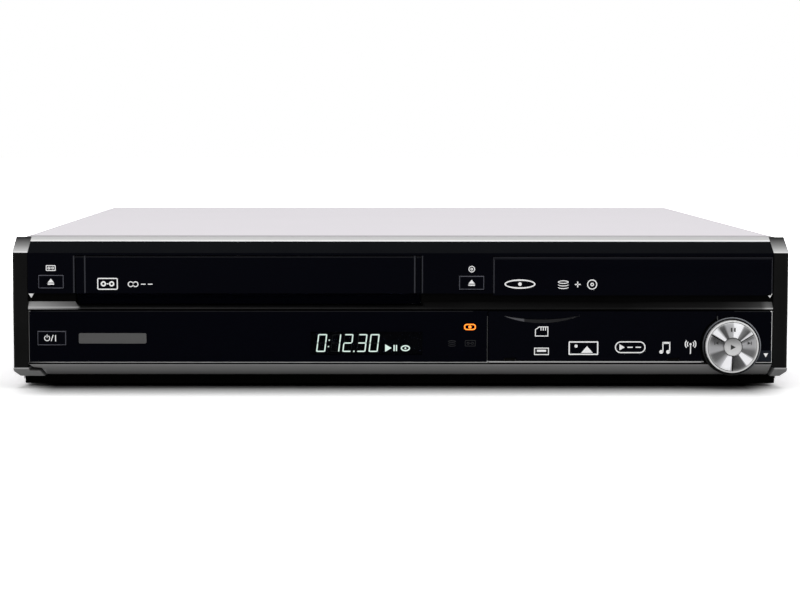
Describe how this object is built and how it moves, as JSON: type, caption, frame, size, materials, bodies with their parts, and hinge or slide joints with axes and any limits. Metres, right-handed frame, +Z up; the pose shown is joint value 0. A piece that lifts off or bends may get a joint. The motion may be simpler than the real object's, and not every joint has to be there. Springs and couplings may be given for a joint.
{
  "type": "dvd vcr combo recorder",
  "caption": "Home video recorder with a cassette door, a disc tray, an internal hard drive, a drop-down front flap, push keys and a round dial, in a silver cover.",
  "frame": {"origin": "middle of the base, at the height of the feet's undersides", "axes": "+Z up, -Y out of the front face, +X to the right as seen from the front"},
  "size_m": [0.43, 0.345, 0.084],
  "materials": {
    "black_gloss": "high gloss",
    "black_satin": "fine satin",
    "board_green": "lacquered board",
    "bright_trim": "satin metallic",
    "cable_grey": "flat cable",
    "chrome": "polished",
    "display_glass": "dark glass",
    "drum_metal": "turned",
    "grey_trim": "satin metallic grey",
    "part_black": "moulded",
    "part_grey": "moulded",
    "rubber_black": "matt",
    "screw_steel": "nickel plated",
    "silver_paint": "satin silver paint",
    "socket_metal": "nickel plated",
    "spun_metal": "spun",
    "white_plastic": "moulded",
    "zinc_steel": "zinc plated sheet"
  },
  "bodies": {
    "casing": {"front_frame": "black_satin", "top_trim": "bright_trim", "middle_trim": "bright_trim", "bottom_trim": "grey_trim", "base_skirt": "black_satin", "end_caps": "black_satin", "upper_panel": "black_gloss", "lower_panel": "black_gloss", "flap_pins": "screw_steel", "jack_bay": "black_satin", "front_sockets": "socket_metal", "dial_cup": "black_satin", "dial_rims": "chrome", "control_boards": "board_green", "display_module": "display_glass", "bottom_chassis": "zinc_steel", "top_cover": "silver_paint", "feet": "rubber_black", "rear_panel": "zinc_steel", "cover_screws": "screw_steel", "mains_inlet": "part_black", "rear_sockets": "socket_metal", "fan_frame": "part_black", "deck_chassis": "zinc_steel", "deck_sides": "zinc_steel", "lower_drum": "drum_metal", "reel_belt": "rubber_black", "loading_motor": "zinc_steel", "drive_frame": "zinc_steel", "hard_drive": "drum_metal", "drive_bracket": "zinc_steel", "main_board": "board_green", "power_board": "board_green", "ribbon_cable": "cable_grey"},
    "door": {"cassette_door": "black_gloss"},
    "carriage": {"cassette_carriage": "part_black"},
    "holder": {"cassette_holder": "zinc_steel"},
    "drum": {"head_drum": "drum_metal"},
    "capstan_wheel": {"capstan": "drum_metal"},
    "clutch": {"reel_clutch": "part_grey"},
    "supply": {"supply_reel": "white_plastic"},
    "takeup": {"takeup_reel": "white_plastic"},
    "pinch": {"pinch_arm": "zinc_steel"},
    "roller": {"pinch_roller": "rubber_black"},
    "tray": {"disc_tray": "part_black", "tray_front": "black_gloss"},
    "gear": {"tray_gear": "white_plastic"},
    "lift": {"traverse": "part_grey"},
    "spindle": {"turntable": "part_black"},
    "sled": {"laser_sled": "part_grey"},
    "clamp": {"disc_clamper": "part_black"},
    "flap": {"front_flap": "black_gloss"},
    "power": {"power_key": "black_gloss"},
    "eject": {"eject_key": "black_gloss"},
    "open_close": {"open_close_key": "black_gloss"},
    "dial_top": {"dial_key_top": "spun_metal"},
    "dial_left": {"dial_key_left": "spun_metal"},
    "dial_right": {"dial_key_right": "spun_metal"},
    "dial_centre": {"dial_key_centre": "spun_metal"},
    "fan": {"fan_rotor": "part_black"}
  },
  "joints": [
    {"name": "door_swing", "type": "hinge", "parent": "casing", "child": "door", "pos_m": [-0.0845, -0.166, 0.0729], "axis": [1, 0, 0], "range_deg": [0, 88], "stiffness_Nm_per_rad": 0.02, "springref_deg": -11.46},
    {"name": "carriage_load", "type": "slide", "parent": "casing", "child": "carriage", "axis": [0, 1, 0], "range_m": [0, 0.055]},
    {"name": "holder_drop", "type": "slide", "parent": "carriage", "child": "holder", "axis": [0, 0, -1], "range_m": [0, 0.012]},
    {"name": "drum_spin", "type": "hinge", "parent": "casing", "child": "drum", "pos_m": [-0.0845, 0.0545, 0.0255], "axis": [0.1045, 0, 0.9945], "continuous": true},
    {"name": "capstan_spin", "type": "hinge", "parent": "casing", "child": "capstan_wheel", "pos_m": [-0.022, 0.0285, 0.024], "axis": [0, 0, 1], "continuous": true},
    {"name": "clutch_spin", "type": "hinge", "parent": "casing", "child": "clutch", "pos_m": [-0.0845, -0.0275, 0.019], "axis": [0, 0, 1], "continuous": true},
    {"name": "supply_spin", "type": "hinge", "parent": "casing", "child": "supply", "pos_m": [-0.1305, -0.0275, 0.0255], "axis": [0, 0, 1], "continuous": true},
    {"name": "takeup_spin", "type": "hinge", "parent": "casing", "child": "takeup", "pos_m": [-0.0385, -0.0275, 0.0255], "axis": [0, 0, 1], "continuous": true},
    {"name": "pinch_swing", "type": "hinge", "parent": "casing", "child": "pinch", "pos_m": [-0.002, 0.0405, 0.0435], "axis": [0, 0, -1], "range_deg": [0, 15]},
    {"name": "roller_spin", "type": "hinge", "parent": "pinch", "child": "roller", "pos_m": [-0.01044, 0.02305, 0.0315], "axis": [0, 0, 1], "continuous": true},
    {"name": "tray_slide", "type": "slide", "parent": "casing", "child": "tray", "axis": [0, -1, 0], "range_m": [0, 0.14]},
    {"name": "gear_spin", "type": "hinge", "parent": "casing", "child": "gear", "pos_m": [0.0777, -0.1405, 0.0534], "axis": [0, 0, 1], "range_deg": [0, 802.15]},
    {"name": "traverse_lift", "type": "hinge", "parent": "casing", "child": "lift", "pos_m": [0.1287, -0.0105, 0.05025], "axis": [-1, 0, 0], "range_deg": [0, 3]},
    {"name": "spindle_spin", "type": "hinge", "parent": "lift", "child": "spindle", "pos_m": [0.1287, -0.0915, 0.052], "axis": [0, 0, 1], "continuous": true},
    {"name": "sled_slide", "type": "slide", "parent": "lift", "child": "sled", "axis": [0, 1, 0], "range_m": [0, 0.034]},
    {"name": "clamp_spin", "type": "hinge", "parent": "casing", "child": "clamp", "pos_m": [0.1287, -0.0915, 0.07], "axis": [0, 0, 1], "continuous": true},
    {"name": "flap_drop", "type": "hinge", "parent": "casing", "child": "flap", "pos_m": [0.0486, -0.16635, 0.01605], "axis": [1, 0, 0], "range_deg": [0, 90]},
    {"name": "power_press", "type": "slide", "parent": "casing", "child": "power", "axis": [0, 1, 0], "range_m": [0, 0.0008], "stiffness_N_per_m": 900},
    {"name": "eject_press", "type": "slide", "parent": "casing", "child": "eject", "axis": [0, 1, 0], "range_m": [0, 0.0008], "stiffness_N_per_m": 900},
    {"name": "open_close_press", "type": "slide", "parent": "casing", "child": "open_close", "axis": [0, 1, 0], "range_m": [0, 0.0008], "stiffness_N_per_m": 900},
    {"name": "dial_top_press", "type": "slide", "parent": "casing", "child": "dial_top", "axis": [0, 1, 0], "range_m": [0, 0.0008], "stiffness_N_per_m": 900},
    {"name": "dial_left_press", "type": "slide", "parent": "casing", "child": "dial_left", "axis": [0, 1, 0], "range_m": [0, 0.0008], "stiffness_N_per_m": 900},
    {"name": "dial_right_press", "type": "slide", "parent": "casing", "child": "dial_right", "axis": [0, 1, 0], "range_m": [0, 0.0008], "stiffness_N_per_m": 900},
    {"name": "dial_centre_press", "type": "slide", "parent": "casing", "child": "dial_centre", "axis": [0, 1, 0], "range_m": [0, 0.0008], "stiffness_N_per_m": 900},
    {"name": "fan_spin", "type": "hinge", "parent": "casing", "child": "fan", "pos_m": [-0.066, 0.1575, 0.044], "axis": [0, 1, 0], "continuous": true}
  ],
  "couplings": [
    {"joint": "gear_spin", "follows": "tray_slide", "rad_per_m": 100},
    {"joint": "clutch_spin", "follows": "capstan_spin", "ratio": 0.57143}
  ]
}
